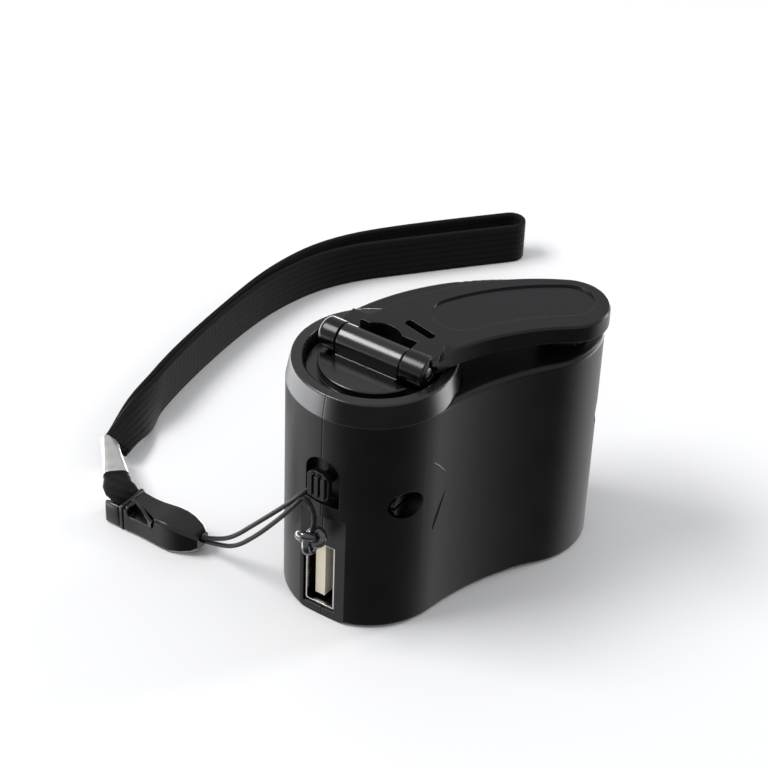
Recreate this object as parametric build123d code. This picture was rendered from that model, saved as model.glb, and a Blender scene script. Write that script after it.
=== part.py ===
from build123d import *

import os
from math import acos, cos, pi, radians, sin, sqrt, tan

# Hand crank phone charger: a kidney-shaped case with a folding crank arm on top, a
# step-up gear train and a generator inside, a USB-A socket at the foot of its round
# front, and a wrist strap with a small side-release buckle tied on by a cord.
#
# Millimetres, +Z up. The crank turns about a vertical axis through the centre of the
# case's round front. Everything is modelled from that axis and moved at the end, so
# that the origin is at the bottom centre of the charger without its strap.

# Case: two round ends joined by a hollow near side and a full far side.
front_radius = 14.0
tail_radius = 13.0
tail_x = 26.7
tail_y = -11.8
waist_radius = 47.8
back_radius = 40.0
deck_height = 41.4
wall = 1.6
foot_fillet = 0.8
deck_fillet = 0.9
ledge_width = 1.4
ledge_thickness = 1.6

# Collar round the crank hub: a ring set in a rebate at its shoulder. Its outside leans
# in, and a flat rim is left on top.
collar_height = 44.8
collar_shoulder = 40.8
collar_top_radius = 13.25
collar_rim_fillet = 0.35
hub_recess_radius = 11.3

# Hub: a plate under a disc, with a barrel across it for the arm's hinge.
hub_gap = 0.3
hub_plate_radius = 10.8
hub_plate_thickness = 0.9
hub_disc_radius = 9.0
hub_disc_top = 44.0
hub_edge_fillet = 0.3
hub_notch_width = 6.8
hinge_height = 45.7
barrel_radius = 2.5
barrel_length = 11.7
hinge_pin_radius = 0.8
hinge_pin_recess = 0.2
hinge_pin_mouth_radius = 1.25
hinge_pin_mouth_depth = 0.5

# Arm: a curved plate with two knuckles at its root.
arm_bottom = 45.2
arm_thickness = 3.0
arm_root_x = 1.0
arm_root_y = -2.8
arm_root_radius = 7.9
arm_tip_x = 26.5
arm_tip_y = -19.2
arm_tip_radius = 7.0
arm_hollow_radius = 36.3
arm_full_radius = 42.3
arm_edge_chamfer = 0.3
knuckle_radius = 2.6
knuckle_gap = 0.3
near_knuckle_length = 4.15
far_knuckle_length = 3.4
near_knuckle_chamfer = 0.25
far_knuckle_fillet = 0.9
fold_limit = 160.0
fold_clearance = 0.2
far_web_thickness = 1.1
far_web_reach = 7.0
far_web_near = 2.4
far_web_far = 8.9
root_notch_x = 2.9
root_notch_radius = 4.2
slot_length = 6.2
slot_width = 1.5
slot_x = 6.0
slot_y = -4.4
slot_turn = 77.0
panel_depth = 0.3
panel_root_x = 13.6
panel_root_y = -7.2
panel_root_radius = 4.6
panel_tip_x = 27.2
panel_tip_y = -18.9
panel_tip_radius = 4.4
panel_hollow_radius = 39.0
panel_full_radius = 39.6

# Finger knob: low and grooved, turning on a headed pin under the arm's tip.
knob_x = 26.8
knob_y = -19.0
knob_radius = 4.2
knob_height = 3.1
knob_gap = 0.15
knob_grooves = 24
knob_groove_radius = 0.3
knob_edge_chamfer = 0.4
knob_pin_radius = 1.1
knob_pin_head_radius = 2.2
knob_pin_head_height = 0.8
knob_pin_head_gap = 0.3
knob_pin_grip = 2.0

# Gear train, from the crank up to the generator. Tooth sizes are modules.
drive_teeth = 44
drive_module = 0.5
pinion_teeth = 12
second_teeth = 36
second_module = 0.4
third_teeth = 30
third_module = 0.4
pressure_angle = 25.0
tooth_backlash = 0.06
addendum_share = 0.85
dedendum_share = 1.1
first_idler_direction = -2.0
second_idler_direction = -89.0
generator_direction = -5.0
gear_plate_bottom = 29.0
gear_plate_thickness = 1.5
gear_plate_gap = 0.3
gear_plate_front = -8.8
gear_clearance = 0.4
third_gear_width = 1.8
second_gear_width = 1.7
drive_gear_width = 2.5
drive_hub_radius = 4.0
running_clearance = 0.03

# Shafts and bushes.
crank_shaft_radius = 2.0
crank_shaft_seat = 0.4
bush_wall = 1.6
bush_flange = 1.3
bush_flange_thickness = 0.7
idler_pin_radius = 1.0
pin_boss_wall = 1.4
pin_boss_gap = 0.4
clip_thickness = 0.5
clip_reach = 1.3
clip_gap = 0.1
shaft_tail = 0.6

# Generator: a steel cup with two magnets round a three-armed rotor.
can_radius = 8.0
can_wall = 0.6
can_length = 18.0
can_gap = 0.3
end_cap_thickness = 2.0
end_cap_spigot = 1.0
magnet_thickness = 1.0
magnet_length = 12.0
magnet_arc = 130.0
rotor_radius = 5.9
rotor_length = 10.0
rotor_arms = 3
rotor_arm_width = 2.6
rotor_shoe_thickness = 1.0
rotor_slot = 1.4
rotor_boss_radius = 2.3
winding_thickness = 0.8
winding_start = 2.5
winding_end = 4.2
generator_shaft_radius = 0.75
can_boss_radius = 2.4
can_boss_height = 1.2
generator_bush_radius = 1.6
generator_bush_length = 3.0
terminal_width = 2.0
terminal_length = 1.6
terminal_thickness = 0.4
terminal_spacing = 4.5
terminal_offset = 4.5

# USB-A socket, standing on end in a flat at the foot of the front.
flat_depth = 0.7
flat_top = 21.4
socket_y = 0.65
socket_bottom = 1.8
socket_height = 13.2
socket_width = 5.7
socket_length = 13.0
socket_wall = 0.3
socket_gap = 0.2
socket_setback = 0.4
tongue_thickness = 1.9
tongue_height = 11.1
tongue_setback = 1.2
tongue_shift = 0.75
insulator_back = 3.0
contact_count = 4
contact_width = 1.0
contact_pitch = 2.25
contact_thickness = 0.2
contact_length = 6.5

# Circuit board, upright beside the socket.
board_thickness = 1.2
board_front = -10.6
board_back = 8.0
board_top = 21.5
board_rib_thickness = 1.4
board_rib_low = 4.0
board_rib_high = 18.0
board_rib_front = -2.0
board_rib_back = 1.0
capacitor_radius = 2.6
capacitor_length = 5.5
capacitor_x = 4.6
capacitor_z = 14.6
chip_x = -6.4
chip_z = 12.0
chip_length = 4.6
chip_width = 3.6
chip_thickness = 1.4
diode_x = 4.4
diode_z = 4.6
diode_length = 3.8
diode_width = 2.2
diode_thickness = 1.8
diode_pitch = 2.9
diode_count = 2
coil_x = -6.4
coil_z = 5.4
coil_size = 4.6
coil_chamfer = 0.9
coil_height = 2.4

# Leads from the generator to the board: the points between their two ends.
lead_radius = 0.4
lead_gap = 0.2
lead_heights = (9.0, 4.6)
lead_bends = [
    [(19.6, -5.6, 4.4), (16.2, -3.0, 3.4), (12.2, 0.6, 5.6)],
    [(24.2, -5.2, 4.2), (20.0, -1.6, 2.9), (14.6, 2.2, 3.2)],
]

# Case screws, driven in from the near side.
screw_height = 25.0
front_screw_x = -7.3
tail_screw_x = 33.0
screw_boss_radius = 2.2
screw_seat_wall = 1.1
screw_seat_thickness = 1.2
screw_head_radius = 2.2
screw_head_height = 1.5
screw_head_depth = 1.1
screw_head_gap = 0.4
screw_radius = 1.0
screw_hole_gap = 0.2
screw_thread_length = 5.0
screw_slot_width = 0.6
screw_slot_depth = 0.6

# Lanyard stud, clamped between the case halves in an arched pocket.
pocket_depth = 2.2
pocket_width = 6.4
pocket_bottom = 24.0
pocket_top = 33.0
pocket_backing = 1.6
pocket_margin = 1.6
stud_stem_height = 28.2
stud_width = 4.1
stud_length = 5.4
stud_thickness = 1.0
stud_proud = 1.5
stud_stem_radius = 1.1
stud_flange_radius = 2.2
stud_flange_thickness = 0.7
stud_ribs = 3
stud_rib_width = 0.7
stud_rib_height = 0.5
stud_rib_pitch = 1.2
stud_rib_margin = 0.7
stud_corner_radius = 1.5

# Cord from the stud to the buckle, in two strands.
cord_radius = 0.5
knot_radius = 2.6
knot_place = (-16.6, 0.0, 18.3)
cord_to_stud = [
    (-12.4, 25.1, 2.9),
    (-13.0, 20.4, 5.4),
    (-14.3, 14.6, 11.6),
    (-15.3, 9.2, 17.6),
    (-15.7, 5.4, 22.4),
    (-14.8, 3.2, 25.9),
    (-13.1, 2.0, 27.4),
]
cord_to_knot = [
    (-11.3, 25.1, 2.6),
    (-11.9, 20.0, 3.9),
    (-13.3, 14.2, 9.6),
    (-14.9, 8.8, 15.4),
    (-16.1, 5.4, 19.0),
    (-16.9, 2.5, 19.7),
]

# Buckle: a socket at the cord and a plug with a bar for the strap.
buckle_x = -12.0
buckle_front = 25.4
buckle_width = 7.6
buckle_height = 5.6
buckle_wall = 1.0
buckle_edge_fillet = 0.8
nose_length = 4.6
nose_width = 4.4
nose_height = 4.4
socket_body_length = 13.0
window_length = 7.0
window_height = 2.4
window_setback = 3.2
plug_gap = 0.15
plug_base_length = 4.2
prong_length = 9.0
prong_width = 1.2
prong_barb = 0.5
spine_width = 1.4
bar_thickness = 1.2
bar_slot_length = 1.6

# Wrist strap: woven webbing on its edge, closed by a metal crimp.
strap_height = 8.5
strap_thickness = 2.3
strap_end_radius = 2.6
strap_gap = 0.15
crimp_wall = 0.45
crimp_length = 4.5
strap_route = [
    (-1.7, 53.0),
    (5.0, 54.4),
    (19.6, 58.1),
    (40.3, 60.1),
    (56.0, 60.2),
    (70.0, 56.6),
    (83.6, 46.2),
    (99.0, 32.6),
]
tail_width = 6.0
tail_thickness = 2.0


def cylinder(radius, bottom, top, x=0.0, y=0.0):
    """Upright cylinder between two heights."""
    solid = Cylinder(radius, top - bottom, align=(Align.CENTER, Align.CENTER, Align.MIN))
    return Pos(x, y, bottom) * solid


def bar_along_x(radius, start, end, y, z):
    """Round bar lying along X between two values of x."""
    return Pos((start + end) / 2, y, z) * Rot(0, 90, 0) * Cylinder(radius, abs(end - start))


def bar_along_y(radius, start, end, x, z):
    """Round bar lying along Y between two values of y."""
    return Pos(x, (start + end) / 2, z) * Rot(90, 0, 0) * Cylinder(radius, abs(end - start))


def block(x_range, y_range, z_range):
    """Box between two values on each axis."""
    ranges = (x_range, y_range, z_range)
    size = [abs(high - low) for low, high in ranges]
    middle = [(high + low) / 2 for low, high in ranges]
    return Pos(*middle) * Box(*size)


def around(middle, width):
    """The range of a width about its middle."""
    return (middle - width / 2, middle + width / 2)


def raise_face(face, bottom, top):
    """Solid over a plan face between two heights."""
    return Pos(0, 0, bottom) * extrude(face, top - bottom)


def bend_centre(first, first_reach, second, second_reach):
    """Centre on the near side that lies at a given reach from each of two points."""
    span = second - first
    along = (first_reach**2 - second_reach**2 + span.length**2) / (2 * span.length)
    across = sqrt(first_reach**2 - along**2)
    direction = span.normalized()
    near = Vector(direction.Y, -direction.X)
    return first + direction * along + near * across


def bend(centre, radius, start, end, through):
    """Arc about a centre from start to end, bulging towards a direction."""
    return ThreePointArc(start, centre + through.normalized() * radius, end)


def kidney(root, root_radius, tip, tip_radius, hollow_radius, full_radius, inset=0.0):
    """Plan face with two round ends, hollow on the near side and full on the far side."""
    root = Vector(*root)
    tip = Vector(*tip)
    root_radius -= inset
    tip_radius -= inset
    hollow_radius += inset
    full_radius -= inset
    hollow = bend_centre(root, root_radius + hollow_radius, tip, tip_radius + hollow_radius)
    full = bend_centre(root, full_radius - root_radius, tip, full_radius - tip_radius)
    root_near = root + (hollow - root).normalized() * root_radius
    tip_near = tip + (hollow - tip).normalized() * tip_radius
    root_far = root + (root - full).normalized() * root_radius
    tip_far = tip + (tip - full).normalized() * tip_radius
    near_middle = (root_near + tip_near) / 2
    far_middle = (root_far + tip_far) / 2
    outline = Wire(
        [
            bend(root, root_radius, root_far, root_near, root - tip),
            bend(hollow, hollow_radius, root_near, tip_near, near_middle - hollow),
            bend(tip, tip_radius, tip_near, tip_far, tip - root),
            bend(full, full_radius, tip_far, root_far, far_middle - full),
        ]
    )
    return make_face(outline)


def case_plan(inset=0.0):
    """Plan of the case, drawn in by an inset."""
    tail = (tail_x, tail_y)
    return kidney((0, 0), front_radius, tail, tail_radius, waist_radius, back_radius, inset)


def polar(distance, direction, origin=(0.0, 0.0)):
    """Point at a distance and a direction in degrees from an origin."""
    turn = radians(direction)
    return (origin[0] + distance * cos(turn), origin[1] + distance * sin(turn))


# Shaft places, each one mesh away from the last.
drive_span = (drive_teeth + pinion_teeth) * drive_module / 2
second_span = (second_teeth + pinion_teeth) * second_module / 2
third_span = (third_teeth + pinion_teeth) * third_module / 2
first_idler = polar(drive_span, first_idler_direction)
second_idler = polar(second_span, second_idler_direction, first_idler)
generator_place = polar(third_span, generator_direction, second_idler)

# Heights of the train, built up from the gear plate to the ceiling.
ceiling = deck_height - wall
gear_plate_top = gear_plate_bottom + gear_plate_thickness
third_gear_bottom = gear_plate_top + gear_clearance
third_gear_top = third_gear_bottom + third_gear_width
second_gear_bottom = third_gear_top + gear_clearance
second_gear_top = second_gear_bottom + second_gear_width
drive_gear_bottom = second_gear_top + gear_clearance
drive_gear_top = drive_gear_bottom + drive_gear_width
bush_radius = crank_shaft_radius + bush_wall
bush_flange_radius = bush_radius + bush_flange
upper_bush_bottom = ceiling - bush_flange_thickness
lower_bush_bottom = gear_plate_bottom - bush_flange_thickness
first_boss_bottom = drive_gear_top + pin_boss_gap
second_boss_bottom = second_gear_top + 2 * pin_boss_gap
hub_bottom = deck_height + hub_gap
arm_top = arm_bottom + arm_thickness
knuckle_start = barrel_length / 2 + knuckle_gap
near_knuckle_end = -knuckle_start - near_knuckle_length
far_knuckle_end = knuckle_start + far_knuckle_length
can_bottom = gear_plate_bottom - can_length
generator_middle = can_bottom + can_length / 2
terminal_bottom = can_bottom - end_cap_thickness - terminal_length
socket_front = flat_depth - front_radius + socket_setback
socket_back = socket_front + socket_length
board_near = socket_y + socket_width / 2
board_far = board_near + board_thickness
screw_xs = (front_screw_x, tail_screw_x)
plug_start = buckle_front + nose_length + socket_body_length + plug_gap
plug_end = plug_start + plug_base_length


def flank_angle(teeth, module, radius):
    """Half the angle of a tooth at a radius, for an involute flank."""
    pitch_radius = teeth * module / 2
    base_radius = pitch_radius * cos(radians(pressure_angle))
    pressure_there = acos(base_radius / max(radius, base_radius))
    half_at_pitch = (pi * module / 2 - tooth_backlash) / (2 * pitch_radius)
    pitch_involute = tan(radians(pressure_angle)) - radians(pressure_angle)
    return half_at_pitch + pitch_involute - (tan(pressure_there) - pressure_there)


def gear(teeth, module, bottom, top, place, tooth_direction):
    """Spur gear with a tooth pointing in a direction."""
    pitch_radius = teeth * module / 2
    root_radius = pitch_radius - dedendum_share * module
    tip_radius = pitch_radius + addendum_share * module
    flank = (root_radius, pitch_radius, tip_radius)
    points = []
    for tooth in range(teeth):
        middle = radians(tooth_direction) + 2 * pi * tooth / teeth
        for side in (-1, 1):
            for radius in flank[::-side]:
                turn = middle + side * flank_angle(teeth, module, radius)
                points.append((radius * cos(turn), radius * sin(turn)))
    face = make_face(Polyline(*points, close=True))
    return Pos(place[0], place[1], 0) * raise_face(face, bottom, top)


def gap_direction(direction, teeth):
    """Tooth direction that leaves a gap pointing back along a direction."""
    return direction + 180 + 180 / teeth


def near_skin(x):
    """The near side's y at an x on one of the round ends."""
    if x < tail_x / 2:
        return -sqrt(front_radius**2 - x**2)
    return tail_y - sqrt(tail_radius**2 - (x - tail_x) ** 2)


def parting_y(x):
    """The parting line's y: along the axis at the front, then towards the tail."""
    return max(x, 0) * tail_y / tail_x


def screw_seat(x):
    """The y of the face that a case screw's head bears on."""
    return near_skin(x) + screw_head_depth + screw_head_height


def hub_collar():
    """Ring round the hub, with a leaning outside and a rounded rim."""
    height = collar_height - collar_shoulder
    base = (Align.CENTER, Align.CENTER, Align.MIN)
    ring = Pos(0, 0, collar_shoulder) * Cone(front_radius, collar_top_radius, height, align=base)
    ring -= cylinder(hub_recess_radius, 0, collar_height + 1)
    return fillet(ring.edges().group_by(Axis.Z)[-1], collar_rim_fillet)


def case_outside():
    """Case as a solid lump, with the collar's rebate and the flat round the USB socket."""
    body = raise_face(case_plan(), 0, deck_height)
    body = fillet(body.edges().group_by(Axis.Z)[0], foot_fillet)
    body = fillet(body.edges().group_by(Axis.Z)[-1], deck_fillet)
    body += cylinder(front_radius, deck_height - 2 * deck_fillet, collar_shoulder)
    body -= cylinder(front_radius, collar_shoulder, collar_height)
    body += cylinder(hub_recess_radius, collar_shoulder, deck_height)
    flat_face = flat_depth - front_radius
    beyond = -2 * front_radius
    body -= block((beyond, flat_face), (-front_radius, front_radius), (-wall, flat_top))
    return body


def lanyard_pocket(depth, margin=0.0):
    """Arched pocket in the front, or the backing round it when a margin is given."""
    half = pocket_width / 2
    arch_centre = pocket_top - half
    start = -front_radius - 1
    end = -front_radius + depth
    side = half + margin
    pocket = block((start, end), (-side, side), (pocket_bottom - margin, arch_centre))
    return pocket + bar_along_x(side, start, end, 0, arch_centre)


def case_void():
    """Space inside the case, less the bosses, ledge and ribs that stand in it."""
    void = raise_face(case_plan(wall), wall, ceiling)
    void -= lanyard_pocket(pocket_depth + pocket_backing, pocket_margin)
    for x in screw_xs:
        skin = near_skin(x)
        seat_end = screw_seat(x) + screw_seat_thickness
        seat_radius = screw_head_radius + screw_head_gap + screw_seat_wall
        void -= bar_along_y(seat_radius, skin, seat_end, x, screw_height)
        void -= bar_along_y(screw_boss_radius, skin, skin + 2 * front_radius, x, screw_height)
    ledge = case_plan(wall / 2) - case_plan(wall + ledge_width)
    ledge -= Pos(*generator_place) * Circle(can_radius + can_gap)
    void -= raise_face(ledge, gear_plate_bottom - ledge_thickness, gear_plate_bottom)
    boss_radius = idler_pin_radius + pin_boss_wall
    void -= cylinder(boss_radius, first_boss_bottom, ceiling + 1, *first_idler)
    void -= cylinder(boss_radius, second_boss_bottom, ceiling + 1, *second_idler)
    for height in (board_rib_low, board_rib_high):
        rib_height = around(height, board_rib_thickness)
        rib_length = (board_rib_front, board_rib_back)
        void -= block(rib_length, (board_far, front_radius), rib_height)
    return void


def screw_holes(x):
    """Counterbore, clearance hole and thread hole of one case screw."""
    seat = screw_seat(x)
    parting = parting_y(x)
    head = screw_head_radius + screw_head_gap
    holes = bar_along_y(head, near_skin(x) - wall, seat, x, screw_height)
    holes += bar_along_y(screw_radius + screw_hole_gap, seat, parting, x, screw_height)
    holes += bar_along_y(screw_radius, parting, parting + screw_thread_length, x, screw_height)
    return holes


def case_shell():
    """Both case halves in one piece, with every hole and pocket."""
    shell = case_outside() - case_void()
    shell -= cylinder(bush_radius, ceiling - 1, deck_height + 1)
    shell -= lanyard_pocket(pocket_depth)
    stem_end = -front_radius + pocket_depth + pocket_backing + 1
    shell -= bar_along_x(stud_stem_radius, -front_radius, stem_end, 0, stud_stem_height)
    socket_y_range = around(socket_y, socket_width + 2 * socket_gap)
    socket_z_range = (socket_bottom - socket_gap, socket_bottom + socket_height + socket_gap)
    shell -= block((-front_radius - 1, socket_front + 2 * wall), socket_y_range, socket_z_range)
    shell -= cylinder(idler_pin_radius, first_boss_bottom - 1, ceiling, *first_idler)
    shell -= cylinder(idler_pin_radius, second_boss_bottom - 1, ceiling, *second_idler)
    for x in screw_xs:
        shell -= screw_holes(x)
    return shell


def near_side():
    """Everything on the near side of the parting line."""
    far = 4 * front_radius
    corners = [(-far, 0), (0, 0), (far, parting_y(far)), (far, -far), (-far, -far)]
    return raise_face(make_face(Polyline(*corners, close=True)), -1, collar_height + 1)


def case_screws():
    """The screws that hold the halves together, with slotted heads."""
    screws = []
    for x in screw_xs:
        seat = screw_seat(x)
        head_start = seat - screw_head_height
        end = parting_y(x) + screw_thread_length
        screw = bar_along_y(screw_head_radius, head_start, seat, x, screw_height)
        screw += bar_along_y(screw_radius, seat, end, x, screw_height)
        slot_depth = (head_start - 1, head_start + screw_slot_depth)
        slot_height = around(screw_height, screw_slot_width)
        screw -= block(around(x, 3 * screw_head_radius), slot_depth, slot_height)
        screws.append(screw)
    return Compound(screws)


def shaft_bush(flange_bottom, top):
    """Flanged bush for the crank shaft, with its flange below."""
    bush = cylinder(bush_flange_radius, flange_bottom, flange_bottom + bush_flange_thickness)
    bush += cylinder(bush_radius, flange_bottom, top)
    return bush - cylinder(crank_shaft_radius + running_clearance, flange_bottom - 1, top + 1)


def gear_plate():
    """Plate on the case's ledge that carries the train and the generator."""
    plate = raise_face(case_plan(wall + gear_plate_gap), gear_plate_bottom, gear_plate_top)
    front = (-2 * front_radius, gear_plate_front)
    plate -= block(front, (-front_radius, front_radius), (0, deck_height))
    plate -= cylinder(bush_radius, 0, deck_height)
    plate -= cylinder(can_boss_radius, 0, deck_height, *generator_place)
    for place in (first_idler, second_idler):
        plate -= cylinder(idler_pin_radius, 0, deck_height, *place)
    return plate


def idler_pins():
    """Fixed pins from the gear plate up into the bosses under the deck."""
    places = (first_idler, second_idler)
    pins = [cylinder(idler_pin_radius, gear_plate_bottom, ceiling, *place) for place in places]
    return Compound(pins)


def drive_gear():
    """Crank's gear, with a hub that spaces it between the two bushes."""
    direction = first_idler_direction
    wheel = gear(drive_teeth, drive_module, drive_gear_bottom, drive_gear_top, (0, 0), direction)
    hub_low = gear_plate_top + gear_clearance / 2
    hub_high = upper_bush_bottom - gear_clearance / 2
    wheel += cylinder(drive_hub_radius, hub_low, hub_high)
    return wheel - cylinder(crank_shaft_radius, 0, deck_height)


def idler_gear(place, pinion, wheel, top):
    """Compound gear: a pinion and a wheel on one hub, bored to run on a pin."""
    root_radius = (pinion_teeth / 2 - dedendum_share) * second_module
    body = pinion + wheel
    body += cylinder(root_radius, gear_plate_top + gear_clearance / 2, top, *place)
    return body - cylinder(idler_pin_radius + running_clearance, 0, deck_height, *place)


def first_idler_gear():
    """Pinion that the drive gear turns, and the second wheel below it."""
    place = first_idler
    back = gap_direction(first_idler_direction, pinion_teeth)
    onward = second_idler_direction
    pinion = gear(pinion_teeth, drive_module, second_gear_top, drive_gear_top, place, back)
    wheel = gear(
        second_teeth, second_module, second_gear_bottom, second_gear_top, place, onward
    )
    return idler_gear(place, pinion, wheel, drive_gear_top)


def second_idler_gear():
    """Pinion that the second wheel turns, and the third wheel below it."""
    place = second_idler
    back = gap_direction(second_idler_direction, pinion_teeth)
    onward = generator_direction
    pinion = gear(pinion_teeth, second_module, third_gear_top, second_gear_top, place, back)
    wheel = gear(third_teeth, third_module, third_gear_bottom, third_gear_top, place, onward)
    return idler_gear(place, pinion, wheel, second_gear_top)


def generator_pinion():
    """Pinion on the generator's shaft."""
    place = generator_place
    back = gap_direction(generator_direction, pinion_teeth)
    pinion = gear(pinion_teeth, third_module, third_gear_bottom, third_gear_top, place, back)
    return pinion - cylinder(generator_shaft_radius, 0, deck_height, *place)


def generator_can():
    """Drawn steel cup, open below, with a boss that locates it in the gear plate."""
    roof = gear_plate_bottom - can_wall
    can = cylinder(can_radius, can_bottom, gear_plate_bottom)
    can -= cylinder(can_radius - can_wall, can_bottom - 1, roof)
    can += cylinder(can_boss_radius, roof, gear_plate_bottom + can_boss_height)
    can -= cylinder(generator_bush_radius, can_bottom, deck_height)
    return Pos(*generator_place) * can


def generator_bush():
    """Bush in the can's boss."""
    top = gear_plate_bottom + can_boss_height
    bush = cylinder(generator_bush_radius, top - generator_bush_length, top)
    bush -= cylinder(generator_shaft_radius + running_clearance, can_bottom, deck_height)
    return Pos(*generator_place) * bush


def generator_end_cap():
    """Moulded cap that closes the can and carries the shaft's lower end."""
    cap = cylinder(can_radius, can_bottom - end_cap_thickness, can_bottom)
    cap += cylinder(can_radius - can_wall, can_bottom, can_bottom + end_cap_spigot)
    hole_bottom = can_bottom - end_cap_thickness / 2
    cap -= cylinder(generator_shaft_radius + running_clearance, hole_bottom, deck_height)
    return Pos(*generator_place) * cap


def terminal_x(side):
    """The x of the terminal on one side of the generator."""
    return generator_place[0] + side * terminal_spacing / 2


def generator_terminals():
    """Two flat terminals under the end cap."""
    terminals = []
    for side in (-1, 1):
        width = around(terminal_x(side), terminal_width)
        depth = around(generator_place[1] + terminal_offset, terminal_thickness)
        height = (terminal_bottom, terminal_bottom + terminal_length)
        terminals.append(block(width, depth, height))
    return Compound(terminals)


def generator_magnets():
    """Two curved magnets on the inside of the can."""
    outer = can_radius - can_wall
    height = around(generator_middle, magnet_length)
    ring = cylinder(outer, *height) - cylinder(outer - magnet_thickness, 0, deck_height)
    reach = 2 * can_radius
    half = magnet_arc / 2
    corners = [(0, 0), polar(reach, -half), (2 * reach, 0), polar(reach, half)]
    wedge = raise_face(make_face(Polyline(*corners, close=True)), 0, deck_height)
    magnets = [ring & wedge, ring & (Rot(0, 0, 180) * wedge)]
    return Pos(*generator_place) * Compound(magnets)


def rotor_core():
    """Laminated core: arms from a middle boss out to curved shoes."""
    height = around(generator_middle, rotor_length)
    core = cylinder(rotor_radius, *height)
    core -= cylinder(rotor_radius - rotor_shoe_thickness, *height)
    slot = block((0, 2 * rotor_radius), around(0, rotor_slot), (0, deck_height))
    for arm in range(rotor_arms):
        core -= Rot(0, 0, (arm + 0.5) * 360 / rotor_arms) * slot
    core += cylinder(rotor_boss_radius, *height)
    arm_length = (0, rotor_radius - rotor_shoe_thickness / 2)
    spoke = block(arm_length, around(0, rotor_arm_width), height)
    for arm in range(rotor_arms):
        core += Rot(0, 0, arm * 360 / rotor_arms) * spoke
    core -= cylinder(generator_shaft_radius, 0, deck_height)
    return Pos(*generator_place) * core


def rotor_windings():
    """Copper wound round each arm of the core."""
    width = around(0, rotor_arm_width + 2 * winding_thickness)
    height = around(generator_middle, rotor_length + 2 * winding_thickness)
    coil = block((winding_start, winding_end), width, height)
    arm_height = around(generator_middle, rotor_length)
    coil -= block((0, 2 * rotor_radius), around(0, rotor_arm_width), arm_height)
    coils = [Rot(0, 0, arm * 360 / rotor_arms) * coil for arm in range(rotor_arms)]
    return Pos(*generator_place) * Compound(coils)


def generator_shaft():
    """Steel shaft from the end cap to the top of its pinion."""
    bottom = can_bottom - end_cap_thickness / 2 + running_clearance
    return cylinder(generator_shaft_radius, bottom, third_gear_top, *generator_place)


def crank_hub():
    """Hub that turns in the collar: plate, notched disc and the hinge's middle barrel."""
    plate_top = hub_bottom + hub_plate_thickness
    half = barrel_length / 2
    hub = cylinder(hub_disc_radius, hub_bottom, hub_disc_top)
    hub = fillet(hub.edges().group_by(Axis.Z)[-1], hub_edge_fillet)
    for side in (-1, 1):
        notch_length = (side * half, side * 2 * hub_disc_radius)
        hub -= block(around(0, hub_notch_width), notch_length, (plate_top, collar_height))
    hub += cylinder(hub_plate_radius, hub_bottom, plate_top)
    hub += block(around(0, 2 * barrel_radius), (-half, half), (hub_bottom, hinge_height))
    hub += bar_along_y(barrel_radius, -half, half, 0, hinge_height)
    hub -= cylinder(crank_shaft_radius, 0, hub_disc_top - crank_shaft_seat)
    hub -= bar_along_y(hinge_pin_radius, -front_radius, front_radius, 0, hinge_height)
    return hub


def crank_shaft():
    """Steel shaft from the hub down through both bushes."""
    bottom = lower_bush_bottom - clip_gap - clip_thickness - shaft_tail
    return cylinder(crank_shaft_radius, bottom, hub_disc_top - crank_shaft_seat)


def shaft_clip():
    """Retaining ring on the shaft under the lower bush."""
    top = lower_bush_bottom - clip_gap
    ring = cylinder(crank_shaft_radius + clip_reach, top - clip_thickness, top)
    return ring - cylinder(crank_shaft_radius, 0, deck_height)


def hinge_pin():
    """Pin through the hub's barrel and the arm's two knuckles."""
    near_end = near_knuckle_end + hinge_pin_recess
    far_end = far_knuckle_end - hinge_pin_recess
    return bar_along_y(hinge_pin_radius, near_end, far_end, 0, hinge_height)


def arm_panel():
    """Plan of the sunk panel on the arm's top."""
    root = (panel_root_x, panel_root_y)
    tip = (panel_tip_x, panel_tip_y)
    radii = (panel_hollow_radius, panel_full_radius)
    return kidney(root, panel_root_radius, tip, panel_tip_radius, *radii)


def knuckle(start, end, round_end, size):
    """One of the arm's knuckles, its outer edge finished by a function and a size."""
    solid = bar_along_y(knuckle_radius, start, end, 0, hinge_height)
    outer = solid.edges().filter_by(GeomType.CIRCLE).sort_by_distance((0, end, hinge_height))[0]
    return round_end(outer, size)


def knuckle_pair():
    """The arm's two knuckles before they are bored."""
    near = knuckle(-knuckle_start, near_knuckle_end, chamfer, near_knuckle_chamfer)
    return near + knuckle(knuckle_start, far_knuckle_end, fillet, far_knuckle_fillet)


def pin_way():
    """Bore for the hinge pin, with a wider mouth at its near end."""
    bore = hinge_pin_radius + running_clearance
    way = bar_along_y(bore, -front_radius, front_radius, 0, hinge_height)
    mouth = (near_knuckle_end - 1, near_knuckle_end + hinge_pin_mouth_depth)
    return way + bar_along_y(hinge_pin_mouth_radius, *mouth, 0, hinge_height)


def arm_knuckles():
    """Knuckles at the arm's root, one at each end of the hub's barrel."""
    return knuckle_pair() - pin_way()


def collar_sweep():
    """Where the collar lies from the arm when the arm is folded to its limit."""
    ring = cylinder(front_radius, collar_shoulder, collar_height + fold_clearance)
    ring -= cylinder(hub_recess_radius - fold_clearance, 0, 2 * collar_height)
    swing = Pos(0, 0, hinge_height) * Rot(0, fold_limit, 0) * Pos(0, 0, -hinge_height)
    return swing * ring


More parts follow.
